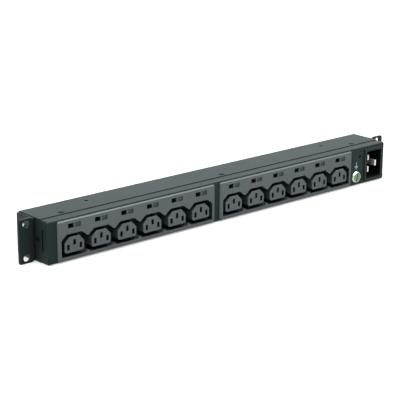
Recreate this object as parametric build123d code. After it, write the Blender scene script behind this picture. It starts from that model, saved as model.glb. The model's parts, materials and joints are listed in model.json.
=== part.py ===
from build123d import *
import os
from math import cos, radians, sin

# Rack power distribution unit, one rack unit high: a folded sheet-metal case with two
# moulded six-way outlet modules, a power inlet and an earth screw on its front, and a
# rack ear on each end.
# Frame: the origin is the centre of the four ear holes, on the rear faces of the ears,
# where they meet the rack's rails. +X runs along the front to the inlet end, +Y goes
# into the rack and +Z is up. Sizes are in millimetres.

# Case
BODY_H = 41.2
BODY_D = 45.7
SHEET = 1.2
BEND_R = 1.5
CORNER_R = 0.95
SEAM_D = 11.0
SEAM_GAP = 0.4
TOP_STEP = 0.6
FIT = 0.1
THREAD_FIT = 0.05
OVER = 1.0

# Rack ears: the span over both sets the width of the whole unit
EAR_SPAN = 481.0
EAR_FLANGE = 17.9
EAR_T = 1.9
EAR_RISE = 0.4
EAR_LEG_GAP = 0.8
EAR_SETBACK = 21.0
EAR_BEND_R = 2.5
EAR_HOLE_R = 3.5
EAR_HOLE_IN = 7.95
EAR_HOLE_UP = 5.125
EAR_CORNER_R = 2.0
EAR_NECK = 2.2
EAR_STEP = 0.4

# Layout of the front, from the left end to the right
END_MARGIN = 9.8
MODULE_GAP = 6.6
PANEL_W = 52.0

# Outlet modules
BEZEL_TOP_GAP = 2.1
BEZEL_FOOT_GAP = 0.7
BEZEL_PROUD = 1.5
BEZEL_CHAMFER = 1.1
BEZEL_CORNER_R = 1.8
BEZEL_LAP_X = 3.0
BEZEL_LAP_Z = 1.9
MODULE_BEHIND = 21.7
MODULE_WALL = 1.6
OUTLETS = 6
OUTLET_MARGIN = 3.21

# Outlet pockets and the bosses that stand in them
POCKET_BEHIND = 9.8
POCKET_UP = 1.7
POCKET_GAP_FOOT = 3.4
POCKET_GAP_TOP = 3.2
POCKET_FLAT = 8.3
POCKET_DIP = 5.35
POCKET_END_GAP = 0.565
PEAK_H = 2.4
PEAK_W = 2.4
BOSS_W = 21.9
BOSS_H = 14.8
BOSS_CUT_X = 5.5
BOSS_CUT_Z = 5.6
BOSS_FOOT_R = 2.2
BOSS_SINK = 0.2
BOSS_EDGE = 0.35
CORE_GAP = 2.1

# Contacts in the outlets, for pins of the usual 10 A pattern
SLOT_W = 2.8
SLOT_H = 5.2
SLOT_LIP = 2.0
SLOT_SPAN = 14.0
SLOT_UP = 5.4
EARTH_RISE = 4.0
LEAF_T = 0.5
LEAF_GAP = 1.9
LEAF_H = 4.8
LEAF_FIT = 0.2
LEAF_START = 3.0

# Small windows above each outlet
WINDOW_DOWN = 8.0
WINDOW_H = 4.3
DARK_X = -7.1
DARK_W = 6.3
LABEL_X = 0.6
LABEL_W = 6.4
LABEL_D = 0.8

# Contact bars behind the outlets
BAR_T = 0.8
BAR_H = 3.4
BAR_UP = 3.1
BAR_MID_UP = 8.3
BAR_STEP = 4.8
EARTH_STANDOFF = 2.4
TAB_H = 4.8
TAB_PAST = 8.0
TAB_IN = 7.8
WIRE_BEHIND = 12.7
EARTH_WIRE_BEHIND = 7.1

# Back cover of a module
BACK_T = 1.6
BACK_RIM_D = 1.4
BACK_RIM_T = 1.0
POST_R = 2.2
POST_PAST = 11.4
POST_UP = 4.5
PILOT_R = 1.1
PILOT_D = 6.4
BACK_HEAD_R = 2.3
BACK_HEAD_H = 1.4
BACK_SCREW_BITE = 4.8

# Snap clips
CLIP_L = 8.0
CLIP_RISE = 0.9
CLIP_RUN = 3.4

# Power inlet
INLET_IN = 17.2
INLET_Z = -0.6
INLET_W = 28.2
INLET_GAP = 3.0
INLET_PROUD = 1.2
INLET_CHAMFER = 0.6
INLET_CORNER_R = 2.0
INLET_BODY_D = 22.0
INLET_DROP = 0.3
INLET_RIM = 2.8
CAVITY_W = 22.6
CAVITY_D = 20.7
CAVITY_R = 2.6
CAVITY_WALL = 1.5
PIN_T = 2.0
PIN_H = 6.3
PIN_MARGIN = 8.3
PIN_OFFSET = 8.0
PIN_TIP_D = 2.5
EARTH_PIN_TIP_D = -0.5
PIN_CHAMFER = 0.7
INLET_TAB_H = 6.3

# Earth screw in the front panel
EARTH_IN = 43.1
EARTH_Z = -11.5
EARTH_R = 2.0
EARTH_HEAD_R = 4.7
EARTH_HEAD_EDGE = 0.5
EARTH_HEAD_H = 1.5
EARTH_SLOT_W = 1.8
EARTH_SLOT_D = 1.0
EARTH_SLOT_TILT = 17.0
EARTH_WASHER_R = 6.1
EARTH_WASHER_T = 0.4
EARTH_CUP_H = 1.7
EARTH_LENGTH = 10.0
EARTH_NUT_HEX = 7.0
EARTH_NUT_H = 3.2
RING_T = 0.8
RING_R = 4.4
SMALL_HOLE_IN = 37.7
SMALL_HOLE_Z = 10.1
SMALL_HOLE_R = 1.5

# Fasteners and holes of the case
COVER_SCREW_IN_LEFT = 26.6
COVER_SCREW_IN_RIGHT = 34.6
COVER_SCREW_D = 16.2
HEAD_R = 3.2
HEAD_SINK = 0.25
SHANK_R = 1.5
CASE_SCREW_L = 1.35
END_SCREW_L = 1.8
CROSS_L = 2.6
CROSS_W = 0.7
CROSS_D = 0.6
PAN_ROUND = 0.45
PAN_CROSS_L = 1.1
PAN_CROSS_W = 0.9
TOP_HOLE_IN = 66.2
TOP_HOLE_BEHIND = 14.7
TOP_HOLE_R = 2.0
TAB_W = 16.0
TAB_REACH = 9.0
EAR_SCREW_L = 6.5
EAR_SCREW_BEHIND = 9.7
EAR_SCREW_Z = 8.8
EAR_HEAD_R = 3.3
EAR_HEAD_H = 2.0
EAR_SHANK_R = 2.0
END_SCREW_D = 16.4
END_SCREW_Z = 0.4
END_TAB_START = 12.6
SLIT_D = 8.6
SLIT_W = 1.9
SLIT_H = 21.2
SLIT_Z = 0.3

# Wires
WIRE_R = 1.4
WIRE_BEND = 0.45
BARREL_R = 1.8
BARREL_L = 6.0
CLAW_T = 2.4
CLAW_D = 6.4
CLAW_RIM = 0.4
LEAD_LONG = 16.0
LEAD_SHORT = 10.0
LEAD_RISE = 8.0
LEAD_BOW = 2.0

# Derived sizes of the case and the ears
BODY_W = EAR_SPAN - 2 * EAR_FLANGE
HALF_W = BODY_W / 2
HALF_H = BODY_H / 2
INNER_H = HALF_H - SHEET
FRONT = -EAR_SETBACK
REAR = FRONT + BODY_D
EAR_H = BODY_H + 2 * EAR_RISE
EAR_LEG_H = BODY_H - 2 * EAR_LEG_GAP
EAR_LEG_D = REAR - FIT
EAR_HOLES_X = EAR_SPAN - 2 * EAR_HOLE_IN
EAR_HOLES_Z = EAR_H - 2 * EAR_HOLE_UP
EAR_SCREW_D = BODY_D - EAR_SCREW_BEHIND
COVER_SCREW_X = (COVER_SCREW_IN_LEFT - HALF_W, 0, HALF_W - COVER_SCREW_IN_RIGHT)
TOP_HOLE_X = HALF_W - TOP_HOLE_IN
TOP_HOLE_D = BODY_D - TOP_HOLE_BEHIND

# Derived sizes of the outlet modules
MODULE_W = (BODY_W - END_MARGIN - MODULE_GAP - PANEL_W) / 2
MODULE_LEFT = END_MARGIN + MODULE_W / 2 - HALF_W
MODULE_X = (MODULE_LEFT, MODULE_LEFT + MODULE_W + MODULE_GAP)
MODULE_HALF = MODULE_W / 2 - BEZEL_LAP_X
MODULE_D = BODY_D - MODULE_BEHIND
BEZEL_TOP = HALF_H - BEZEL_TOP_GAP
BEZEL_FOOT = BEZEL_FOOT_GAP - HALF_H
MODULE_TOP = BEZEL_TOP - BEZEL_LAP_Z
MODULE_FOOT = BEZEL_FOOT + BEZEL_LAP_Z
OUTLET_PITCH = (MODULE_W - 2 * OUTLET_MARGIN) / OUTLETS
OUTLET_X = [(i - (OUTLETS - 1) / 2) * OUTLET_PITCH for i in range(OUTLETS)]
POCKET_D = MODULE_D - POCKET_BEHIND
POCKET_FOOT = MODULE_FOOT + POCKET_UP
POCKET_SIDE = OUTLET_PITCH / 2 - POCKET_END_GAP
BOSS_FOOT = POCKET_FOOT + POCKET_GAP_FOOT
BOSS_TOP = BOSS_FOOT + BOSS_H
POCKET_TOP = BOSS_TOP + POCKET_GAP_TOP
POCKET_TIP = POCKET_TOP - POCKET_DIP
CORE_FOOT = POCKET_TOP + CORE_GAP
WINDOW_Z = BEZEL_TOP - WINDOW_DOWN
SLOT_Z = BOSS_FOOT + SLOT_UP
CHAMBER_W = LEAF_GAP + 2 * LEAF_T + 2 * LEAF_FIT
CHAMBER_H = LEAF_H + 2 * LEAF_FIT
FLOOR_D = POCKET_D + MODULE_WALL

# Derived places of the contact bars, the inlet and the earth point
EARTH_BAR_D = FLOOR_D + EARTH_STANDOFF
BAR_FOOT = MODULE_FOOT + BAR_UP
BAR_MID = SLOT_Z + BAR_MID_UP
BAR_TOP = BAR_MID + BAR_STEP
TAB_X = OUTLET_X[-1] + TAB_PAST
WIRE_D = BODY_D - WIRE_BEHIND
EARTH_WIRE_D = BODY_D - EARTH_WIRE_BEHIND
INLET_X = HALF_W - INLET_IN
INLET_H = BODY_H - 2 * INLET_GAP
CAVITY_H = INLET_H - 2 * INLET_RIM
PIN_Z = INLET_Z - INLET_DROP
PIN_SPAN = CAVITY_H - 2 * PIN_MARGIN
EARTH_X = HALF_W - EARTH_IN
SMALL_HOLE_X = HALF_W - SMALL_HOLE_IN

os.makedirs("parts", exist_ok=True)


def block(x, y, z):
    """Box between pairs of limits along X, Y and Z."""
    size = [b - a for a, b in (x, y, z)]
    mid = [(a + b) / 2 for a, b in (x, y, z)]
    return Pos(*mid) * Box(*size)


def along_x(sketch, x0, x1):
    """Sketch with axes Y and Z, extruded from x0 to x1."""
    return extrude(Plane((x0, 0, 0), x_dir=(0, 1, 0), z_dir=(1, 0, 0)) * sketch, x1 - x0, dir=(1, 0, 0))


def along_y(sketch, y0, y1):
    """Sketch with axes X and Z, extruded from y0 to y1."""
    return extrude(Plane((0, y1, 0), x_dir=(1, 0, 0), z_dir=(0, -1, 0)) * sketch, y1 - y0, dir=(0, -1, 0))


def rod(start, direction, radius, length):
    """Cylinder that starts at a point and runs along a direction."""
    return extrude(Plane(start, z_dir=direction) * Circle(radius), length)


def front_edges(solid, y):
    """Edges that lie in the plane at y."""
    return [e for e in solid.edges() if abs(e.center().Y - y) < 1e-4 and e.bounding_box().size.Y < 1e-4]


def mirrored(solid):
    """The same solid on the other end of the unit."""
    return mirror(solid, about=Plane.YZ)


def flat_screw(point, direction, length):
    """Countersunk screw: the point is on the outer surface, the direction goes inwards."""
    z = Vector(*direction)
    top = Vector(*point) + z * HEAD_SINK
    head_h = SHEET - HEAD_SINK
    plane = Plane(top, z_dir=z)
    outer = HEAD_R - THREAD_FIT - HEAD_SINK
    profile = Polygon((0, 0), (outer, 0), (outer - head_h, head_h), (0, head_h), align=None)
    head = plane * revolve(Plane.XZ * profile, Axis.Z)
    shank = rod(top + z * head_h, direction, SHANK_R, length)
    cross = Box(CROSS_L, CROSS_W, CROSS_D) + Box(CROSS_W, CROSS_L, CROSS_D)
    return head + shank - plane * Pos(0, 0, CROSS_D / 2) * cross


def countersink(point, direction):
    """Conical hole through one sheet for a countersunk screw."""
    plane = Plane(point, z_dir=direction)
    profile = Polygon((0, 0), (HEAD_R, 0), (HEAD_R - SHEET, SHEET), (0, SHEET), align=None)
    return plane * revolve(Plane.XZ * profile, Axis.Z)


def pan_screw(point, direction, head_r, head_h, shank_r, length):
    """Pan-head screw with a cross recess: the point is on the surface under the head."""
    z = Vector(*direction)
    base = Vector(*point)
    head = Plane(base - z * head_h, z_dir=z) * extrude(Circle(head_r), head_h)
    top = head.faces().sort_by_distance(base - z * (head_h + OVER))[0]
    head = fillet(top.edges(), head_h * PAN_ROUND)
    shank = rod(base, direction, shank_r, length)
    reach = head_r * PAN_CROSS_L
    deep = head_h / 2
    cross = Box(reach, PAN_CROSS_W, deep) + Box(PAN_CROSS_W, reach, deep)
    return head + shank - Plane(base - z * head_h, z_dir=z) * Pos(0, 0, deep / 2) * cross


def cover_screw_points(side):
    """Where the case screws enter: side is 1 on the top and -1 underneath."""
    return [(x, FRONT + COVER_SCREW_D, side * HALF_H) for x in COVER_SCREW_X]


def end_screw_point(side):
    return (side * HALF_W, FRONT + END_SCREW_D, END_SCREW_Z)


def ear_screw_points(side):
    x = side * (HALF_W + EAR_T)
    return [(x, FRONT + EAR_SCREW_D, s * EAR_SCREW_Z) for s in (1, -1)]


# Case: the front channel and the cover behind it
def channel_outline(depth_start, depth_end, top, closed_front):
    """Outside of a folded U in Y and Z, with its bends on the closed side."""
    mid = ((depth_start + depth_end) / 2, (top - HALF_H) / 2)
    outline = Pos(*mid) * Rectangle(depth_end - depth_start, top + HALF_H)
    edge = depth_start if closed_front else depth_end
    return fillet([v for v in outline.vertices() if abs(v.X - edge) < 1e-6], BEND_R)


def channel_section(depth_start, depth_end, top, closed_front):
    """Section of a folded U, open to the rear or to the front."""
    cut_start = depth_start + SHEET if closed_front else depth_start
    cut_end = depth_end if closed_front else depth_end - SHEET
    mid = ((cut_start + cut_end) / 2, (top - HALF_H) / 2)
    inner = Pos(*mid) * Rectangle(cut_end - cut_start, top + HALF_H - 2 * SHEET)
    edge = cut_start if closed_front else cut_end
    inner = fillet([v for v in inner.vertices() if abs(v.X - edge) < 1e-6], BEND_R - SHEET)
    return channel_outline(depth_start, depth_end, top, closed_front) - inner


def front_channel():
    top = HALF_H - TOP_STEP
    body = along_x(channel_section(FRONT, FRONT + SEAM_D, top, True), -HALF_W, HALF_W)
    rear_start = FRONT + BEND_R
    end_face = Pos((rear_start + REAR) / 2, 0) * Rectangle(REAR - rear_start, 2 * (INNER_H - FIT))
    end_face = fillet([v for v in end_face.vertices() if v.X > 0], BEND_R)
    end_face += channel_outline(FRONT, FRONT + SEAM_D, top, True)
    slit = Pos(FRONT + SLIT_D, SLIT_Z) * SlotOverall(SLIT_H, SLIT_W, rotation=90)
    for side in (1, -1):
        x0, x1 = sorted((side * HALF_W, side * (HALF_W - SHEET)))
        wall = along_x(end_face - slit, x0, x1)
        body += wall
    corner = [e for e in body.edges() if abs(abs(e.center().X) - HALF_W) < 1e-4
              and abs(e.center().Y - FRONT) < 1e-4 and e.bounding_box().size.Z > BEND_R]
    body = fillet(corner, CORNER_R)
    for side in (1, -1):
        for x, y, z in cover_screw_points(side):
            z0, z1 = sorted((side * INNER_H, side * (INNER_H - SHEET)))
            tab_y = (FRONT + SEAM_D - SHEET, FRONT + SEAM_D + TAB_REACH)
            body += block((x - TAB_W / 2, x + TAB_W / 2), tab_y, (z0, z1))
            body -= rod((x, y, z), (0, 0, -side), SHANK_R + THREAD_FIT, 4 * SHEET)
        start = end_screw_point(side)
        body -= countersink(start, (-side, 0, 0))
        for point in ear_screw_points(side):
            body -= rod(point, (-side, 0, 0), EAR_SHANK_R + FIT, 4 * EAR_T)
    cut_y = (FRONT - OVER, FRONT + SHEET + FIT)
    gap = 2 * FIT
    for x in MODULE_X:
        body -= block((x - MODULE_HALF - gap, x + MODULE_HALF + gap), cut_y,
                      (MODULE_FOOT - gap, MODULE_TOP + gap))
    half_w = CAVITY_W / 2 + CAVITY_WALL + gap
    half_h = CAVITY_H / 2 + CAVITY_WALL + gap
    body -= block((INLET_X - half_w, INLET_X + half_w), cut_y, (PIN_Z - half_h, PIN_Z + half_h))
    body -= rod((EARTH_X, FRONT - OVER, EARTH_Z), (0, 1, 0), EARTH_R + FIT, SHEET + 2 * OVER)
    body -= rod((SMALL_HOLE_X, FRONT - OVER, SMALL_HOLE_Z), (0, 1, 0), SMALL_HOLE_R, SHEET + 2 * OVER)
    return body


def rear_cover():
    start = FRONT + SEAM_D + SEAM_GAP
    body = along_x(channel_section(start, REAR, HALF_H, False), -HALF_W, HALF_W)
    tab_face = HALF_W - SHEET - FIT
    for side in (1, -1):
        x0, x1 = sorted((side * tab_face, side * (HALF_W + OVER)))
        body -= block((x0, x1), (REAR - BEND_R, REAR + OVER), (-INNER_H, INNER_H))
        x0, x1 = sorted((side * tab_face, side * (tab_face - SHEET)))
        height = INNER_H - BEND_R
        body += block((x0, x1), (FRONT + END_TAB_START, REAR - SHEET / 2), (-height, height))
        for x, y, z in cover_screw_points(side):
            body -= countersink((x, y, z), (0, 0, -side))
        x, y, z = end_screw_point(side)
        body -= rod((x, y, z), (-side, 0, 0), SHANK_R + THREAD_FIT, 4 * SHEET)
        for point in ear_screw_points(side):
            body -= rod(point, (-side, 0, 0), EAR_SHANK_R + THREAD_FIT, 4 * EAR_T)
    for x in (-TOP_HOLE_X, TOP_HOLE_X):
        body -= rod((x, FRONT + TOP_HOLE_D, HALF_H + OVER), (0, 0, -1), TOP_HOLE_R, SHEET + 2 * OVER)
    return body


# Rack ear: an L of thicker sheet, with its leg on the end of the case
def rack_ear():
    tip = EAR_SPAN / 2
    leg = block((HALF_W, HALF_W + EAR_T), (-EAR_T, EAR_LEG_D), (-EAR_H / 2, EAR_H / 2))
    flange = block((HALF_W, tip), (-EAR_T, 0), (-EAR_H / 2, EAR_H / 2))
    body = leg + flange
    outer = body.edges().filter_by(Axis.Z).sort_by_distance((HALF_W, -EAR_T, 0))[0]
    body = fillet(outer, EAR_BEND_R)
    inner = body.edges().filter_by(Axis.Z).sort_by_distance((HALF_W + EAR_T, 0, 0))[0]
    body = fillet(inner, EAR_BEND_R - EAR_T)
    neck = HALF_W + EAR_T + EAR_STEP
    half_leg = EAR_LEG_H / 2
    half = EAR_H / 2
    outline = Polygon((HALF_W - OVER, -half_leg), (neck, -half_leg), (neck + EAR_NECK, -half), (tip, -half),
                      (tip, half), (neck + EAR_NECK, half), (neck, half_leg), (HALF_W - OVER, half_leg),
                      align=None)
    outline = fillet([v for v in outline.vertices() if v.X > tip - OVER], EAR_CORNER_R)
    body &= along_y(outline, -EAR_T - OVER, EAR_LEG_D + OVER)
    heel = [e for e in body.edges().filter_by(Axis.X) if e.center().Y > EAR_LEG_D - 1e-3]
    body = fillet(heel, EAR_CORNER_R)
    for z in (-EAR_HOLES_Z / 2, EAR_HOLES_Z / 2):
        body -= rod((EAR_HOLES_X / 2, -EAR_T - OVER, z), (0, 1, 0), EAR_HOLE_R, EAR_T + 2 * OVER)
    for point in ear_screw_points(1):
        body -= rod((point[0] + OVER, point[1], point[2]), (-1, 0, 0), EAR_SHANK_R + FIT, EAR_T + 2 * OVER)
    return body


# Outlet module: one moulding with its pockets, bosses and slots, and a back cover
def pocket_outline():
    """The merged pockets as seen from the front, with a tip and a peak between neighbours."""
    left = OUTLET_X[0] - POCKET_SIDE
    right = OUTLET_X[-1] + POCKET_SIDE
    slope = (POCKET_TOP - POCKET_TIP) / (OUTLET_PITCH / 2 - POCKET_FLAT)
    shoulder = POCKET_TOP - slope * (POCKET_SIDE - POCKET_FLAT)
    points = [(left, POCKET_FOOT), (left, shoulder)]
    for i, x in enumerate(OUTLET_X):
        points += [(x - POCKET_FLAT, POCKET_TOP), (x + POCKET_FLAT, POCKET_TOP)]
        if i < OUTLETS - 1:
            points.append((x + OUTLET_PITCH / 2, POCKET_TIP))
    points += [(right, shoulder), (right, POCKET_FOOT)]
    for x in reversed(OUTLET_X[:-1]):
        peak = x + OUTLET_PITCH / 2
        points += [(peak + PEAK_W, POCKET_FOOT), (peak, POCKET_FOOT + PEAK_H), (peak - PEAK_W, POCKET_FOOT)]
    return Polygon(*points, align=None)


def boss_outline():
    half = BOSS_W / 2
    flat = half - BOSS_CUT_X
    shape = Polygon((-half, BOSS_FOOT), (half, BOSS_FOOT), (half, BOSS_TOP - BOSS_CUT_Z), (flat, BOSS_TOP),
                    (-flat, BOSS_TOP), (-half, BOSS_TOP - BOSS_CUT_Z), align=None)
    return fillet([v for v in shape.vertices() if v.Y < BOSS_FOOT + 1e-3], BOSS_FOOT_R)


def contact_places():
    """Slot centres of one outlet, as X and Z from its own centre line."""
    return {
        "neutral": (-SLOT_SPAN / 2, SLOT_Z),
        "line": (SLOT_SPAN / 2, SLOT_Z),
        "earth": (0, SLOT_Z + EARTH_RISE),
    }


def outlet_boss():
    """One boss with its three slots and the chambers behind them, on the centre line."""
    face = FRONT - BEZEL_PROUD + BOSS_SINK
    body = along_y(boss_outline(), face, FRONT + FLOOR_D)
    body = chamfer(front_edges(body, face), BOSS_EDGE)
    for x, z in contact_places().values():
        body -= block((x - SLOT_W / 2, x + SLOT_W / 2), (face - OVER, face + SLOT_LIP + OVER),
                      (z - SLOT_H / 2, z + SLOT_H / 2))
        body -= block((x - CHAMBER_W / 2, x + CHAMBER_W / 2), (face + SLOT_LIP, FRONT + FLOOR_D + OVER),
                      (z - CHAMBER_H / 2, z + CHAMBER_H / 2))
    return body


def post_places():
    x = OUTLET_X[-1] + POST_PAST
    return [(sx * x, z) for sx in (-1, 1) for z in (MODULE_FOOT + POST_UP, MODULE_TOP - POST_UP)]


def outlet_housing():
    face = FRONT - BEZEL_PROUD
    back = FRONT + MODULE_D
    floor = FRONT + FLOOR_D
    inner = MODULE_HALF - MODULE_WALL
    low = MODULE_FOOT + MODULE_WALL
    high = MODULE_TOP - MODULE_WALL
    mid = (BEZEL_TOP + BEZEL_FOOT) / 2
    bezel = Pos(0, mid) * RectangleRounded(MODULE_W, BEZEL_TOP - BEZEL_FOOT, BEZEL_CORNER_R)
    body = along_y(bezel, face, FRONT)
    body = chamfer(front_edges(body, face), BEZEL_CHAMFER)
    body += block((-MODULE_HALF, MODULE_HALF), (FRONT, back), (MODULE_FOOT, MODULE_TOP))
    body -= block((-inner, inner), (floor, back + OVER), (low, high))
    body -= block((-inner, inner), (FRONT + MODULE_WALL, back + OVER), (CORE_FOOT, high))
    body -= along_y(pocket_outline(), face - OVER, FRONT + POCKET_D)
    body += block((-inner, inner), (floor, FRONT + EARTH_BAR_D), (BAR_TOP, CORE_FOOT))
    for x, z in post_places():
        start = MODULE_WALL if z > CORE_FOOT else POCKET_D
        body += rod((x, FRONT + start, z), (0, 1, 0), POST_R, MODULE_D - start)
        body -= rod((x, back, z), (0, -1, 0), PILOT_R, PILOT_D)
    boss = outlet_boss()
    for x in OUTLET_X:
        for cx, cz in contact_places().values():
            chamber_x = (x + cx - CHAMBER_W / 2, x + cx + CHAMBER_W / 2)
            body -= block(chamber_x, (FRONT + POCKET_D - OVER, floor + OVER),
                          (cz - CHAMBER_H / 2, cz + CHAMBER_H / 2))
        body += Pos(x, 0, 0) * boss
        body -= block((x + DARK_X, x + DARK_X + DARK_W), (face - OVER, FRONT + MODULE_WALL + OVER),
                      (WINDOW_Z, WINDOW_Z + WINDOW_H))
        body -= block((x + LABEL_X, x + LABEL_X + LABEL_W), (face - OVER, face + LABEL_D),
                      (WINDOW_Z, WINDOW_Z + WINDOW_H))
    catch = FRONT + SHEET + FIT
    for z, rise in ((MODULE_TOP, CLIP_RISE), (MODULE_FOOT, -CLIP_RISE)):
        wedge = Polygon((catch, z), (catch, z + rise), (catch + CLIP_RUN, z), align=None)
        for x in (-2 * OUTLET_PITCH, 0, 2 * OUTLET_PITCH):
            body += along_x(wedge, x - CLIP_L / 2, x + CLIP_L / 2)
    return body


def bar_plans():
    """For each contact bar: its foot, its depth, the depth of its wire and its tabs' distance."""
    return {
        "neutral": {"foot": BAR_FOOT, "depth": FLOOR_D, "wire": WIRE_D, "tab": TAB_X},
        "line": {"foot": BAR_MID, "depth": FLOOR_D, "wire": WIRE_D, "tab": TAB_X},
        "earth": {"foot": BAR_TOP, "depth": EARTH_BAR_D, "wire": EARTH_WIRE_D, "tab": TAB_X - TAB_IN},
    }


def bar_tab_z(pole):
    return bar_plans()[pole]["foot"] + BAR_H / 2


def outlet_back():
    back = FRONT + MODULE_D
    body = block((-MODULE_HALF, MODULE_HALF), (back, back + BACK_T), (MODULE_FOOT, MODULE_TOP))
    outer = back + BACK_T
    body = chamfer(front_edges(body, outer), BACK_T / 3)
    low = MODULE_FOOT + MODULE_WALL + FIT
    high = MODULE_TOP - MODULE_WALL - FIT
    rim_x = post_places()[-1][0] - POST_R - BACK_RIM_D
    for z0, z1 in ((low, low + BACK_RIM_T), (high - BACK_RIM_T, high)):
        body += block((-rim_x, rim_x), (back - BACK_RIM_D, back), (z0, z1))
    for x, z in post_places():
        body -= rod((x, back - OVER, z), (0, 1, 0), PILOT_R + FIT, BACK_T + 2 * OVER)
    for pole, plan in bar_plans().items():
        z = bar_tab_z(pole)
        for side in (-1, 1):
            x = side * plan["tab"]
            body -= block((x - BAR_T / 2 - FIT, x + BAR_T / 2 + FIT), (back - BACK_RIM_D, outer + OVER),
                          (z - TAB_H / 2 - FIT, z + TAB_H / 2 + FIT))
    return body


def contact_bar(pole):
    """Stamped bar with a leg and a pair of spring leaves for each outlet, and a tab at each end."""
    plan = bar_plans()[pole]
    foot = plan["foot"]
    cx, cz = contact_places()[pole]
    y0 = FRONT + plan["depth"]
    y1 = y0 + BAR_T
    end = plan["tab"] + BAR_T / 2
    body = block((-end, end), (y0, y1), (foot, foot + BAR_H))
    half_leg = LEAF_GAP / 2 + LEAF_T
    low = cz - LEAF_H / 2
    high = cz + LEAF_H / 2
    leg_z = (min(low, foot), max(high, foot + BAR_H))
    for x in OUTLET_X:
        body += block((x + cx - half_leg, x + cx + half_leg), (y0, y1), leg_z)
        for side in (-1, 1):
            near = x + cx + side * LEAF_GAP / 2
            far = near + side * LEAF_T
            body += block((min(near, far), max(near, far)), (FRONT + LEAF_START, y0), (low, high))
    z = bar_tab_z(pole)
    for side in (-1, 1):
        x = side * plan["tab"]
        body += block((x - BAR_T / 2, x + BAR_T / 2), (y0, FRONT + plan["wire"] + CLAW_D / 2),
                      (z - TAB_H / 2, z + TAB_H / 2))
    return body


def back_screws():
    back = FRONT + MODULE_D + BACK_T
    length = BACK_T + BACK_SCREW_BITE
    return [pan_screw((x, back, z), (0, -1, 0), BACK_HEAD_R, BACK_HEAD_H, PILOT_R - THREAD_FIT, length)
            for x, z in post_places()]


# Power inlet with three blades
def inlet_housing():
    face = FRONT - INLET_PROUD
    floor = FRONT + CAVITY_D - INLET_PROUD
    back = FRONT + INLET_BODY_D
    half_w = CAVITY_W / 2 + CAVITY_WALL
    half_h = CAVITY_H / 2 + CAVITY_WALL
    plate = Pos(INLET_X, INLET_Z) * RectangleRounded(INLET_W, INLET_H, INLET_CORNER_R)
    body = along_y(plate, face, FRONT)
    body = chamfer(front_edges(body, face), INLET_CHAMFER)
    body += block((INLET_X - half_w, INLET_X + half_w), (FRONT, back), (PIN_Z - half_h, PIN_Z + half_h))
    cavity = Pos(INLET_X, PIN_Z) * RectangleRounded(CAVITY_W, CAVITY_H, CAVITY_R)
    body -= along_y(cavity, face - OVER, floor)
    for x, z in inlet_pin_places().values():
        body -= block((x - PIN_T / 2 - THREAD_FIT, x + PIN_T / 2 + THREAD_FIT), (floor - OVER, back + OVER),
                      (z - PIN_H / 2 - THREAD_FIT, z + PIN_H / 2 + THREAD_FIT))
    catch = FRONT + SHEET + FIT
    for x, rise in ((INLET_X + half_w, CLIP_RISE), (INLET_X - half_w, -CLIP_RISE)):
        wedge = Polygon((x, catch), (x + rise, catch), (x, catch + CLIP_RUN), align=None)
        for z in (PIN_Z - CLIP_L, PIN_Z + CLIP_L):
            body += extrude(Plane((0, 0, z - CLIP_L / 2)) * wedge, CLIP_L, dir=(0, 0, 1))
    return body


def inlet_pin_places():
    return {
        "line": (INLET_X - PIN_OFFSET / 2, PIN_Z + PIN_SPAN / 2),
        "neutral": (INLET_X - PIN_OFFSET / 2, PIN_Z - PIN_SPAN / 2),
        "earth": (INLET_X + PIN_OFFSET / 2, PIN_Z),
    }


def inlet_wire_depth(pole):
    return INLET_BODY_D + CLAW_D if pole == "earth" else WIRE_D


def inlet_pin(pole):
    x, z = inlet_pin_places()[pole]
    tip = FRONT + (EARTH_PIN_TIP_D if pole == "earth" else PIN_TIP_D)
    back = FRONT + INLET_BODY_D
    blade = block((x - PIN_T / 2, x + PIN_T / 2), (tip, back), (z - PIN_H / 2, z + PIN_H / 2))
    blade = chamfer(front_edges(blade, tip), PIN_CHAMFER)
    tail = FRONT + inlet_wire_depth(pole) + CLAW_D / 2
    tab = block((x - BAR_T / 2, x + BAR_T / 2), (back, tail), (z - INLET_TAB_H / 2, z + INLET_TAB_H / 2))
    return blade + tab


# Earth screw, washer, terminals and nut on the front panel
def earth_screw():
    head_top = FRONT - EARTH_WASHER_T - EARTH_HEAD_H
    seat = FRONT - EARTH_WASHER_T
    body = along_y(Pos(EARTH_X, EARTH_Z) * Circle(EARTH_HEAD_R), head_top, seat)
    body = chamfer(front_edges(body, head_top), EARTH_HEAD_EDGE)
    body += rod((EARTH_X, seat, EARTH_Z), (0, 1, 0), EARTH_R, EARTH_LENGTH)
    slot = Pos(EARTH_X, head_top, EARTH_Z) * (
        Rot(0, EARTH_SLOT_TILT, 0) * Box(EARTH_SLOT_W, 2 * EARTH_SLOT_D, 3 * EARTH_HEAD_R))
    return body - slot


def earth_washer():
    """Cup washer: a flat base with a conical rim round the screw's head."""
    hole = EARTH_R + FIT
    inner = EARTH_HEAD_R + FIT
    profile = Polygon((hole, 0), (EARTH_WASHER_R, 0), (EARTH_WASHER_R, EARTH_WASHER_T),
                      (inner + EARTH_WASHER_T, EARTH_CUP_H), (inner, EARTH_CUP_H), (inner, EARTH_WASHER_T),
                      (hole, EARTH_WASHER_T), align=None)
    plane = Plane((EARTH_X, FRONT, EARTH_Z), x_dir=(1, 0, 0), z_dir=(0, -1, 0))
    return plane * revolve(Plane.XZ * profile, Axis.Z)


def ring_depth(index):
    return SHEET + index * RING_T


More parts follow.
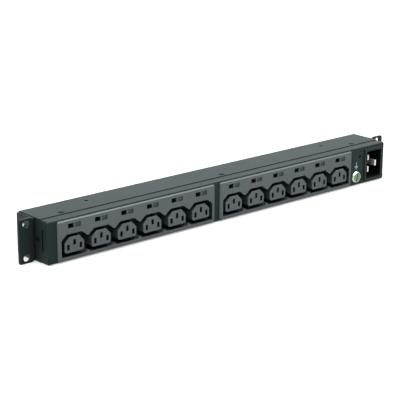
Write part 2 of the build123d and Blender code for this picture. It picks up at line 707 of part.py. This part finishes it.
def ring_terminal(index, side):
    """Ring on the earth screw, with its neck bent back to a barrel that runs to the rear."""
    y0 = FRONT + ring_depth(index)
    y1 = y0 + RING_T
    barrel_x = EARTH_X + side * (RING_R + BARREL_R)
    body = along_y(Pos(EARTH_X, EARTH_Z) * Circle(RING_R), y0, y1)
    x0, x1 = sorted((EARTH_X, barrel_x))
    body += block((x0, x1), (y0, y1), (EARTH_Z - BARREL_R, EARTH_Z + BARREL_R))
    body += rod((barrel_x, y0, EARTH_Z), (0, 1, 0), BARREL_R, BARREL_L + RING_T)
    return body - rod((EARTH_X, y0 - OVER, EARTH_Z), (0, 1, 0), EARTH_R + FIT, RING_T + 2 * OVER)


def earth_nut():
    y0 = FRONT + ring_depth(2)
    shape = RegularPolygon(EARTH_NUT_HEX / 2, 6, major_radius=False) - Circle(EARTH_R + THREAD_FIT)
    return along_y(Pos(EARTH_X, EARTH_Z) * shape, y0, y0 + EARTH_NUT_H)


# Push-on receptacles and the wires between them
def receptacle(x, y, z, side, height):
    """Receptacle pushed on a tab that points to the rear, with its barrel along X."""
    half = height / 2 + CLAW_RIM
    body = block((x - CLAW_T / 2, x + CLAW_T / 2), (y - CLAW_D / 2, y + CLAW_D / 2), (z - half, z + half))
    body += rod((x, y, z), (side, 0, 0), BARREL_R, CLAW_T / 2 + BARREL_L)
    slot_z = (z - height / 2 - THREAD_FIT, z + height / 2 + THREAD_FIT)
    slot_x = (x - BAR_T / 2 - THREAD_FIT, x + BAR_T / 2 + THREAD_FIT)
    return body - block(slot_x, (y - CLAW_D, y + CLAW_D / 2 + THREAD_FIT), slot_z)


def receptacle_end(x, y, z, side):
    return (x + side * (CLAW_T / 2 + BARREL_L), y, z)


def module_terminal(module, pole, side):
    """Place of the receptacle on one end tab of a module's bar."""
    plan = bar_plans()[pole]
    return (MODULE_X[module] + side * plan["tab"], FRONT + plan["wire"], bar_tab_z(pole))


def inlet_terminal(pole):
    x, z = inlet_pin_places()[pole]
    return (x, FRONT + inlet_wire_depth(pole), z)


def receptacles():
    solids = []
    for pole in bar_plans():
        solids.append(receptacle(*module_terminal(0, pole, 1), 1, TAB_H))
        solids.append(receptacle(*module_terminal(1, pole, -1), -1, TAB_H))
        solids.append(receptacle(*module_terminal(1, pole, 1), 1, TAB_H))
        solids.append(receptacle(*inlet_terminal(pole), -1, INLET_TAB_H))
    return solids


def wire(points):
    """Tube along straight runs joined by tangent arcs as large as the runs allow."""
    vectors = [Vector(*p) for p in points]
    radii = []
    for a, b, c in zip(vectors, vectors[1:], vectors[2:]):
        turn = (b - a).get_angle(c - b)
        shorter = min((b - a).length, (c - b).length)
        radii.append(WIRE_BEND * shorter / (sin(radians(turn / 2)) / cos(radians(turn / 2))))
    path = FilletPolyline(*points, radius=radii) if radii else Line(*points)
    profile = Plane(origin=path @ 0, z_dir=path % 0) * Circle(WIRE_R)
    return sweep(profile, path=path)


def jumper(pole):
    """Wire between the facing ends of the two modules."""
    a = receptacle_end(*module_terminal(0, pole, 1), 1)
    b = receptacle_end(*module_terminal(1, pole, -1), -1)
    return wire([a, b])


def inlet_wire(pole):
    a = receptacle_end(*module_terminal(1, pole, 1), 1)
    b = receptacle_end(*inlet_terminal(pole), -1)
    lead = (b[0] - a[0]) / 4
    return wire([a, (a[0] + lead, a[1], a[2]), (b[0] - lead, b[1], b[2]), b])


def ring_wires():
    """Earth wires from the front panel to the module and to the inlet."""
    y = FRONT + ring_depth(0) + BARREL_L + RING_T
    left = EARTH_X - RING_R - BARREL_R
    end = receptacle_end(*module_terminal(1, "earth", 1), 1)
    rear_run = [(left, y, EARTH_Z), (left, y + LEAD_LONG, EARTH_Z),
                (left + LEAD_BOW, end[1] - LEAD_BOW / 2, EARTH_Z + LEAD_RISE),
                (left - LEAD_BOW / 2, end[1], end[2]), end]
    y = FRONT + ring_depth(1) + BARREL_L + RING_T
    right = EARTH_X + RING_R + BARREL_R
    far = receptacle_end(*inlet_terminal("earth"), -1)
    inlet_run = [(right, y, EARTH_Z), (right, y + LEAD_SHORT, EARTH_Z),
                 (right + 2 * LEAD_BOW, far[1], far[2]), far]
    return [wire(rear_run), wire(inlet_run)]


def group(solids):
    return Compound(children=list(solids)) if len(solids) > 1 else solids[0]


def save(name, solids):
    export_step(group(solids), "parts/" + name + ".step")


# Case pieces
save("front_channel", [front_channel()])
save("rear_cover", [rear_cover()])
ear = rack_ear()
save("right_rack_ear", [ear])
save("left_rack_ear", [mirrored(ear)])

# Outlet modules
housing = outlet_housing()
back = outlet_back()
bars = {pole: contact_bar(pole) for pole in bar_plans()}
screws = back_screws()
for name, x in zip(("left", "right"), MODULE_X):
    shift = Pos(x, 0, 0)
    save(name + "_outlet_housing", [shift * housing])
    save(name + "_outlet_back", [shift * back])
    for pole, bar in bars.items():
        save(name + "_" + pole + "_bar", [shift * bar])
    save(name + "_back_screws", [shift * screw for screw in screws])

# Inlet
save("inlet_housing", [inlet_housing()])
for pole in bar_plans():
    save("inlet_" + pole + "_pin", [inlet_pin(pole)])

# Earth point
save("earth_screw", [earth_screw()])
save("earth_washer", [earth_washer()])
save("bar_earth_ring", [ring_terminal(0, -1)])
save("inlet_earth_ring", [ring_terminal(1, 1)])
save("earth_nut", [earth_nut()])

# Wiring
save("push_on_receptacles", receptacles())
for pole in ("line", "neutral"):
    save(pole + "_wires", [jumper(pole), inlet_wire(pole)])
save("earth_wires", [jumper("earth")] + ring_wires())

# Fasteners
for name, side in (("top", 1), ("bottom", -1)):
    inwards = (0, 0, -side)
    save(name + "_cover_screws", [flat_screw(p, inwards, CASE_SCREW_L) for p in cover_screw_points(side)])
ear_screw_size = (EAR_HEAD_R, EAR_HEAD_H, EAR_SHANK_R, EAR_SCREW_L)
for name, side in (("right", 1), ("left", -1)):
    inwards = (-side, 0, 0)
    save(name + "_ear_screws", [pan_screw(p, inwards, *ear_screw_size) for p in ear_screw_points(side)])
    save(name + "_end_screw", [flat_screw(end_screw_point(side), inwards, END_SCREW_L)])
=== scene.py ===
import json
import math

import bmesh
import bpy
from mathutils import Matrix, Vector


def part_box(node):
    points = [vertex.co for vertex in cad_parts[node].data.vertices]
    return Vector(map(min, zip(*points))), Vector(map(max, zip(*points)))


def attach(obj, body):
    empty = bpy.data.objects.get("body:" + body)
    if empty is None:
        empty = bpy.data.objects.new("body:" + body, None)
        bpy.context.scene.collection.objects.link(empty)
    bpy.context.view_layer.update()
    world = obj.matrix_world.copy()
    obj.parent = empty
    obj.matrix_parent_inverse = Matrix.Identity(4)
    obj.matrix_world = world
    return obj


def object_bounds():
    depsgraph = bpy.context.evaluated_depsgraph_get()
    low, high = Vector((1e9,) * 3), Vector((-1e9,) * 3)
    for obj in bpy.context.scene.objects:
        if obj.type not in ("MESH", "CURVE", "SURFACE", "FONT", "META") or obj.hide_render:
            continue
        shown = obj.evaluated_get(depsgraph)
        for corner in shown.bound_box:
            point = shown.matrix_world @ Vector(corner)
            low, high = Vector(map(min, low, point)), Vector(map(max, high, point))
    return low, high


# Looks of a rack power distribution unit: paint, moulded plastic, metal, and on its front the
# printed earth sign and the label inserts. Lengths are in metres, in the frame of the packed
# model, and colours are in linear light.
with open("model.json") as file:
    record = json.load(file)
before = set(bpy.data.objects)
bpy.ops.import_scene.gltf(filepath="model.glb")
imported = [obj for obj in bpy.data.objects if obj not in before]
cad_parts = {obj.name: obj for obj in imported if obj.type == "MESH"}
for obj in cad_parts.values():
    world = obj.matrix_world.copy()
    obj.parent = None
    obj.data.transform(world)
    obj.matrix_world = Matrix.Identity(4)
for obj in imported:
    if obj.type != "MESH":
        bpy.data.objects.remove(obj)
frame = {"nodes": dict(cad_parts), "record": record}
cad_box = [list(corner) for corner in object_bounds()]

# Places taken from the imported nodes
FRONT_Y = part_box("front_channel")[0][1]
EARTH_LOW, EARTH_HIGH = (Vector(corner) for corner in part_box("earth_washer"))
EARTH_X = (EARTH_LOW.x + EARTH_HIGH.x) / 2

# Camera, solved from the edges in the photograph, with its lens and sensor in millimetres
CAMERA_AT = Vector((-0.91183, -1.00383, 0.40019))
CAMERA_AZIMUTH = math.radians(41.478)
CAMERA_PITCH = math.radians(-16.724)
CAMERA_ROLL = math.radians(0.32)
CAMERA_LENS = 127.55
CAMERA_SENSOR = 36.0
CAMERA_NEAR = 0.05
CAMERA_FAR = 50.0

# Sky: its strength at the horizon and below, what is added to that right overhead, and the
# power of the height by which the added part fades
SKY_LOW = 0.22
SKY_TOP = 13.0
SKY_POWER = 4.0
SKY_COLOUR = (1.0, 1.0, 0.997)

# Large soft lights behind and at the left, with their power in watts
REAR_SOFTBOX = {"at": (1.35, 1.5, 0.62), "target": (0.05, 0.0, 0.0), "size": (2.0, 1.0), "power": 5.6}
LEFT_SOFTBOX = {"at": (-1.8, 0.1, 0.6), "target": (-0.2, 0.0, 0.0), "size": (1.0, 0.8), "power": 16.0}

# The floor is a dimly glowing table, so that it stays white round the foot of the case
FLOOR_SIZE = 6.0
FLOOR_DARK = (0.235, 0.235, 0.235)
FLOOR_LIGHT = (0.245, 0.245, 0.245)
FLOOR_ROUGHNESS = 0.9
FLOOR_GLOW = 0.40

# Colours, darkest and lightest where a material varies between two
BLACK = (0.0, 0.0, 0.0)
WHITE = (1.0, 1.0, 1.0)
PAINT_DARK = (0.0072, 0.0092, 0.0094)
PAINT_LIGHT = (0.0090, 0.0116, 0.0118)
PAINT_TINT = (0.38, 1.0, 1.0)
MODULE_DARK = (0.024, 0.036, 0.039)
MODULE_LIGHT = (0.030, 0.043, 0.047)
INNER_DARK = (0.018, 0.018, 0.018)
INNER_LIGHT = (0.025, 0.025, 0.025)
INLET_DARK = (0.0012, 0.0024, 0.0024)
INLET_LIGHT = (0.0020, 0.0034, 0.0034)
INLET_TINT = (0.72, 1.0, 1.0)
LABEL_DARK = (0.009, 0.013, 0.014)
LABEL_LIGHT = (0.013, 0.018, 0.019)
OXIDE_DARK = (0.003, 0.004, 0.004)
OXIDE_LIGHT = (0.0045, 0.0055, 0.0055)
GREEN_DARK = (0.070, 0.145, 0.046)
GREEN_LIGHT = (0.105, 0.20, 0.070)
BRASS = (0.50, 0.36, 0.17)
NICKEL = (0.80, 0.79, 0.77)
ZINC = (0.60, 0.64, 0.61)
LINE_BROWN = (0.16, 0.06, 0.025)
NEUTRAL_BLUE = (0.03, 0.13, 0.45)
EARTH_GREEN = (0.10, 0.33, 0.04)
EARTH_YELLOW = (0.75, 0.62, 0.02)
INK_GREY = (0.36, 0.38, 0.39)

# Painted shade for the recesses of the outlets: share of open sky at which the recesses are painted dark,
# and at which they aren't
RECESS_DARK = 0.35
RECESS_OPEN = 0.90
RECESS_REACH = 0.006
RECESS_SHADE_COLOUR = (0.001, 0.0015, 0.0015)

# Rays that the nodes for the painted recess shade and for rounded edges send out
RECESS_SAMPLES = 8
BEVEL_SAMPLES = 6

# Slanting bands of a two-coloured wire, and where on the wave they begin
STRIPE_SCALE = 55.0
STRIPE_START = 0.68
STRIPE_STOP = 0.72

# Printed earth sign above the earthing screw: heights of its ends, each bar's width and how
# far it lies below the first
SIGN_TOP = 0.0046
SIGN_FOOT = -0.0024
SIGN_BARS = ((0.0052, 0.0), (0.0034, 0.0012), (0.0015, 0.0024))
SIGN_STROKE = 0.00055
SIGN_LIFT = 0.00006

# Dark inserts in the shallow label windows, measured from a module's box and outlets
OUTLETS = 6
OUTLET_MARGIN = 0.00321
LABEL_LEFT = 0.0006
LABEL_RIGHT = 0.0070
LABEL_DROP = 0.0080
LABEL_HEIGHT = 0.0043
LABEL_SINK = 0.0008
INSERT_MARGIN = 0.00025
INSERT_T = 0.0001


# Material building blocks
def new_material(name):
    """A new material, with its node tree and its shader."""
    material = bpy.data.materials.new(name)
    material.use_nodes = True
    tree = material.node_tree
    return material, tree, tree.nodes["Principled BSDF"]


def noise(tree, scale, detail=3.0, roughness=0.5, stretch=None):
    """Noise in object space. The scale is in features per metre."""
    coords = tree.nodes.new("ShaderNodeTexCoord")
    place = coords.outputs["Object"]
    if stretch:
        mapping = tree.nodes.new("ShaderNodeMapping")
        mapping.inputs["Scale"].default_value = stretch
        tree.links.new(place, mapping.inputs["Vector"])
        place = mapping.outputs["Vector"]
    texture = tree.nodes.new("ShaderNodeTexNoise")
    texture.inputs["Scale"].default_value = scale
    texture.inputs["Detail"].default_value = detail
    texture.inputs["Roughness"].default_value = roughness
    tree.links.new(place, texture.inputs["Vector"])
    return texture.outputs["Fac"]


def ramp(tree, source, dark, light, start=0.3, stop=0.7):
    """Colour that runs from dark to light while the source runs from start to stop."""
    node = tree.nodes.new("ShaderNodeValToRGB")
    first, last = node.color_ramp.elements
    first.position = start
    first.color = (*dark, 1.0)
    last.position = stop
    last.color = (*light, 1.0)
    tree.links.new(source, node.inputs["Fac"])
    return node.outputs["Color"]


def shaded(colour, share):
    """A colour at a share of its brightness."""
    return tuple(channel * share for channel in colour)


def colour_mix(tree, factor):
    """A node that runs from its colour A to its colour B by a factor."""
    mix = tree.nodes.new("ShaderNodeMix")
    mix.data_type = "RGBA"
    tree.links.new(factor, mix.inputs["Factor"])
    return mix


def painted_recess_shade(tree, colour):
    """Painted shade: fades a colour to near black where walls stand close together, as in slots."""
    recess = tree.nodes.new("ShaderNodeAmbientOcclusion")
    recess.samples = RECESS_SAMPLES
    recess.inputs["Distance"].default_value = RECESS_REACH
    openness = tree.nodes.new("ShaderNodeMapRange")
    openness.inputs["From Min"].default_value = RECESS_DARK
    openness.inputs["From Max"].default_value = RECESS_OPEN
    tree.links.new(recess.outputs["AO"], openness.inputs["Value"])
    mix = colour_mix(tree, openness.outputs["Result"])
    mix.inputs["A"].default_value = (*RECESS_SHADE_COLOUR, 1.0)
    tree.links.new(colour, mix.inputs["B"])
    return mix.outputs["Result"]


def striped(tree, colour, stripe):
    """A colour with slanting bands of a second one."""
    coords = tree.nodes.new("ShaderNodeTexCoord")
    bands = tree.nodes.new("ShaderNodeTexWave")
    bands.bands_direction = "DIAGONAL"
    bands.inputs["Scale"].default_value = STRIPE_SCALE
    tree.links.new(coords.outputs["Object"], bands.inputs["Vector"])
    mix = colour_mix(tree, ramp(tree, bands.outputs["Fac"], BLACK, WHITE, STRIPE_START, STRIPE_STOP))
    tree.links.new(colour, mix.inputs["A"])
    mix.inputs["B"].default_value = (*stripe, 1.0)
    return mix.outputs["Result"]


def uneven_gloss(tree, shader, source, low, high):
    """Roughness that runs from low to high with the source."""
    gloss = tree.nodes.new("ShaderNodeMapRange")
    gloss.inputs["To Min"].default_value = low
    gloss.inputs["To Max"].default_value = high
    tree.links.new(source, gloss.inputs["Value"])
    tree.links.new(gloss.outputs["Result"], shader.inputs["Roughness"])


def bumped(tree, shader, height, strength, distance, edge):
    """Bump from a height, over sharp edges that are rounded by the radius given as edge."""
    bevel = tree.nodes.new("ShaderNodeBevel")
    bevel.samples = BEVEL_SAMPLES
    bevel.inputs["Radius"].default_value = edge
    bump = tree.nodes.new("ShaderNodeBump")
    bump.inputs["Strength"].default_value = strength
    bump.inputs["Distance"].default_value = distance
    tree.links.new(height, bump.inputs["Height"])
    tree.links.new(bevel.outputs["Normal"], bump.inputs["Normal"])
    tree.links.new(bump.outputs["Normal"], shader.inputs["Normal"])


# Materials
def powder_coat():
    """Near-black powder coat with a fine orange-peel surface."""
    material, tree, shader = new_material("powder_coat")
    patches = noise(tree, scale=35.0, detail=2.0)
    tree.links.new(ramp(tree, patches, PAINT_DARK, PAINT_LIGHT), shader.inputs["Base Color"])
    grain = noise(tree, scale=1900.0, roughness=0.55)
    uneven_gloss(tree, shader, grain, low=0.40, high=0.52)
    shader.inputs["Specular IOR Level"].default_value = 0.13
    shader.inputs["Specular Tint"].default_value = (*PAINT_TINT, 1.0)
    bumped(tree, shader, grain, strength=0.35, distance=0.00006, edge=0.0003)
    return material


def moulded_plastic(name, dark, light, rough, edge, spark=2600.0, specular=0.4, tint=WHITE, paint_recess_shade=False):
    """Spark-eroded plastic or a like dull surface, with painted shade darkening its recesses where that is
    asked for.
    """
    material, tree, shader = new_material(name)
    patches = noise(tree, scale=28.0, detail=2.0)
    colour = ramp(tree, patches, dark, light)
    # Painted shade: the colour goes near black in slots and pockets, where the walls stand close
    if paint_recess_shade:
        colour = painted_recess_shade(tree, colour)
    tree.links.new(colour, shader.inputs["Base Color"])
    grain = noise(tree, scale=spark, detail=4.0, roughness=0.6)
    uneven_gloss(tree, shader, grain, low=rough - 0.05, high=rough + 0.08)
    shader.inputs["Specular IOR Level"].default_value = specular
    shader.inputs["Specular Tint"].default_value = (*tint, 1.0)
    bumped(tree, shader, grain, strength=0.25, distance=0.00004, edge=edge)
    return material


def plated_metal(name, colour, rough, stretch, edge=0.00015):
    """Plated or stamped metal, with drawn lines along the axis that the stretch makes small."""
    material, tree, shader = new_material(name)
    shader.inputs["Metallic"].default_value = 1.0
    patches = noise(tree, scale=120.0, detail=2.0)
    tone = ramp(tree, patches, shaded(colour, 0.88), colour, start=0.35, stop=0.65)
    tree.links.new(tone, shader.inputs["Base Color"])
    lines = noise(tree, scale=900.0, roughness=0.6, stretch=stretch)
    uneven_gloss(tree, shader, lines, low=rough - 0.08, high=rough + 0.12)
    bumped(tree, shader, lines, strength=0.15, distance=0.00003, edge=edge)
    return material


def green_screw():
    """Green-dyed zinc plate on the earthing screw."""
    material, tree, shader = new_material("earth_green")
    shader.inputs["Metallic"].default_value = 0.35
    patches = noise(tree, scale=260.0)
    tree.links.new(ramp(tree, patches, GREEN_DARK, GREEN_LIGHT), shader.inputs["Base Color"])
    grain = noise(tree, scale=1400.0)
    uneven_gloss(tree, shader, grain, low=0.24, high=0.38)
    bumped(tree, shader, grain, strength=0.15, distance=0.00003, edge=0.00025)
    return material


def insulation(name, colour, stripe=None):
    """Wire insulation, with bands of a second colour where the wire is two-coloured."""
    material, tree, shader = new_material(name)
    patches = noise(tree, scale=300.0, detail=2.0)
    tone = ramp(tree, patches, shaded(colour, 0.8), colour)
    if stripe:
        tone = striped(tree, tone, stripe)
    tree.links.new(tone, shader.inputs["Base Color"])
    uneven_gloss(tree, shader, patches, low=0.30, high=0.42)
    return material


def print_ink(name, colour):
    """Screen-printed ink with slightly uneven cover."""
    material, tree, shader = new_material(name)
    patches = noise(tree, scale=1500.0)
    tone = ramp(tree, patches, shaded(colour, 0.82), colour, start=0.35, stop=0.6)
    tree.links.new(tone, shader.inputs["Base Color"])
    uneven_gloss(tree, shader, patches, low=0.45, high=0.6)
    return material


def make_materials():
    """The materials of the record's slots."""
    return {
        "case_paint": powder_coat(),
        # The outlet housings get painted shade in their slots and pockets
        "module_plastic": moulded_plastic(
            "module_plastic", MODULE_DARK, MODULE_LIGHT, rough=0.40, edge=0.0003,
            specular=0.5, paint_recess_shade=True
        ),
        "inner_plastic": moulded_plastic("inner_plastic", INNER_DARK, INNER_LIGHT, rough=0.5, edge=0.0002),
        "inlet_plastic": moulded_plastic(
            "inlet_plastic", INLET_DARK, INLET_LIGHT, rough=0.36, edge=0.0001,
            spark=1800.0, specular=0.20, tint=INLET_TINT
        ),
        "contact_metal": plated_metal("contact_brass", BRASS, rough=0.40, stretch=(1.0, 1.0, 0.1)),
        "pin_metal": plated_metal("pin_nickel", NICKEL, rough=0.46, stretch=(1.0, 0.08, 1.0), edge=0.0002),
        "bright_screw": plated_metal("bright_zinc", ZINC, rough=0.36, stretch=(1.0, 1.0, 1.0)),
        "dark_screw": moulded_plastic(
            "black_oxide", OXIDE_DARK, OXIDE_LIGHT, rough=0.5, edge=0.0002, spark=1600.0, specular=0.03
        ),
        "earth_green": green_screw(),
        "line_insulation": insulation("brown_insulation", LINE_BROWN),
        "neutral_insulation": insulation("blue_insulation", NEUTRAL_BLUE),
        "earth_insulation": insulation("earth_insulation", EARTH_GREEN, EARTH_YELLOW),
    }


def dress_nodes(materials):
    """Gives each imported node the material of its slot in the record."""
    for row in frame["record"]["subparts"]:
        node = frame["nodes"][row["node"]]
        node.data.materials.clear()
        node.data.materials.append(materials[row["material_slot"]])


# Pieces of the scene's own
def plate(mesh, x0, x1, z0, z1, y, thickness):
    """Adds a thin box to a mesh under construction, with its outer face at y."""
    corners = [(x0, z0), (x1, z0), (x1, z1), (x0, z1)]
    outer = [mesh.verts.new((x, y, z)) for x, z in corners]
    inner = [mesh.verts.new((x, y + thickness, z)) for x, z in corners]
    mesh.faces.new(outer)
    mesh.faces.new(inner[::-1])
    for i in range(4):
        j = (i + 1) % 4
        mesh.faces.new((outer[j], outer[i], inner[i], inner[j]))


def mesh_object(name, mesh, material):
    """Turns a mesh under construction into an object of one material."""
    data = bpy.data.meshes.new(name)
    bmesh.ops.recalc_face_normals(mesh, faces=mesh.faces)
    mesh.to_mesh(data)
    mesh.free()
    piece = bpy.data.objects.new(name, data)
    bpy.context.collection.objects.link(piece)
    data.materials.append(material)
    return piece


def earth_sign(material):
    """The usual earth sign: a stem over three bars that get shorter."""
    mesh = bmesh.new()
    y = FRONT_Y - SIGN_LIFT
    half = SIGN_STROKE / 2
    first_bar = SIGN_FOOT + SIGN_BARS[-1][1]
    plate(mesh, EARTH_X - half, EARTH_X + half, first_bar + half, SIGN_TOP, y, SIGN_LIFT)
    for width, drop in SIGN_BARS:
        z = first_bar - drop
        plate(mesh, EARTH_X - width / 2, EARTH_X + width / 2, z - half, z + half, y, SIGN_LIFT)
    piece = mesh_object("earth_sign", mesh, material)
    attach(piece, "root")


def label_inserts(name, module, material):
    """Dark inserts on the floors of a module's shallow label windows."""
    low, high = (Vector(corner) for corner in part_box(module))
    pitch = (high.x - low.x - 2 * OUTLET_MARGIN) / OUTLETS
    foot = high.z - LABEL_DROP + INSERT_MARGIN
    top = high.z - LABEL_DROP + LABEL_HEIGHT - INSERT_MARGIN
    y = low.y + LABEL_SINK - INSERT_T
    mesh = bmesh.new()
    for i in range(OUTLETS):
        centre = low.x + OUTLET_MARGIN + (i + 0.5) * pitch
        left = centre + LABEL_LEFT + INSERT_MARGIN
        right = centre + LABEL_RIGHT - INSERT_MARGIN
        plate(mesh, left, right, foot, top, y, INSERT_T)
    piece = mesh_object(name, mesh, material)
    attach(piece, "root")


# Floor, light and camera
def make_floor():
    """A plain pale floor under the lowest point of the part."""
    mesh = bmesh.new()
    bmesh.ops.create_grid(mesh, x_segments=1, y_segments=1, size=FLOOR_SIZE)
    material, tree, shader = new_material("studio_floor")
    patches = noise(tree, scale=3.0, detail=2.0)
    tree.links.new(ramp(tree, patches, FLOOR_DARK, FLOOR_LIGHT), shader.inputs["Base Color"])
    shader.inputs["Roughness"].default_value = FLOOR_ROUGHNESS
    shader.inputs["Emission Color"].default_value = (*WHITE, 1.0)
    shader.inputs["Emission Strength"].default_value = FLOOR_GLOW
    floor = mesh_object("studio_floor", mesh, material)
    floor.location.z = cad_box[0][2]


def area_light(name, at, target, size, power):
    """A soft rectangular light that faces its target."""
    data = bpy.data.lights.new(name, "AREA")
    data.shape = "RECTANGLE"
    data.size, data.size_y = size
    data.energy = power
    light = bpy.data.objects.new(name, data)
    bpy.context.collection.objects.link(light)
    light.location = at
    direction = Vector(target) - Vector(at)
    light.rotation_euler = direction.to_track_quat("-Z", "Y").to_euler()


def make_world():
    """Soft light that is strongest overhead and falls off towards the horizon."""
    world = bpy.data.worlds.new("studio")
    bpy.context.scene.world = world
    world.use_nodes = True
    tree = world.node_tree
    coords = tree.nodes.new("ShaderNodeTexCoord")
    split = tree.nodes.new("ShaderNodeSeparateXYZ")
    tree.links.new(coords.outputs["Generated"], split.inputs["Vector"])
    value = split.outputs["Z"]
    steps = (("MAXIMUM", 0.0), ("POWER", SKY_POWER), ("MULTIPLY", SKY_TOP), ("ADD", SKY_LOW))
    for operation, number in steps:
        step = tree.nodes.new("ShaderNodeMath")
        step.operation = operation
        tree.links.new(value, step.inputs[0])
        step.inputs[1].default_value = number
        value = step.outputs["Value"]
    background = tree.nodes["Background"]
    background.inputs["Color"].default_value = (*SKY_COLOUR, 1.0)
    tree.links.new(value, background.inputs["Strength"])


def make_camera():
    """The photograph's viewing angle and frame."""
    data = bpy.data.cameras.new("camera")
    data.lens = CAMERA_LENS
    data.sensor_width = CAMERA_SENSOR
    data.clip_start = CAMERA_NEAR
    data.clip_end = CAMERA_FAR
    camera = bpy.data.objects.new("camera", data)
    bpy.context.collection.objects.link(camera)
    turn = Matrix.Rotation(-CAMERA_AZIMUTH, 4, "Z")
    tilt = Matrix.Rotation(math.pi / 2 + CAMERA_PITCH, 4, "X")
    roll = Matrix.Rotation(CAMERA_ROLL, 4, "Z")
    camera.matrix_world = Matrix.Translation(CAMERA_AT) @ turn @ tilt @ roll
    bpy.context.scene.camera = camera


dress_nodes(make_materials())
earth_sign(print_ink("grey_ink", INK_GREY))
insert_dark = moulded_plastic("label_insert", LABEL_DARK, LABEL_LIGHT, rough=0.5, edge=0.0001)
for side in ("left", "right"):
    label_inserts(side + "_label_inserts", side + "_outlet_housing", insert_dark)
make_floor()
area_light("rear_softbox", **REAR_SOFTBOX)
area_light("left_softbox", **LEFT_SOFTBOX)
make_world()
make_camera()
bpy.context.scene.view_settings.view_transform = "Standard"
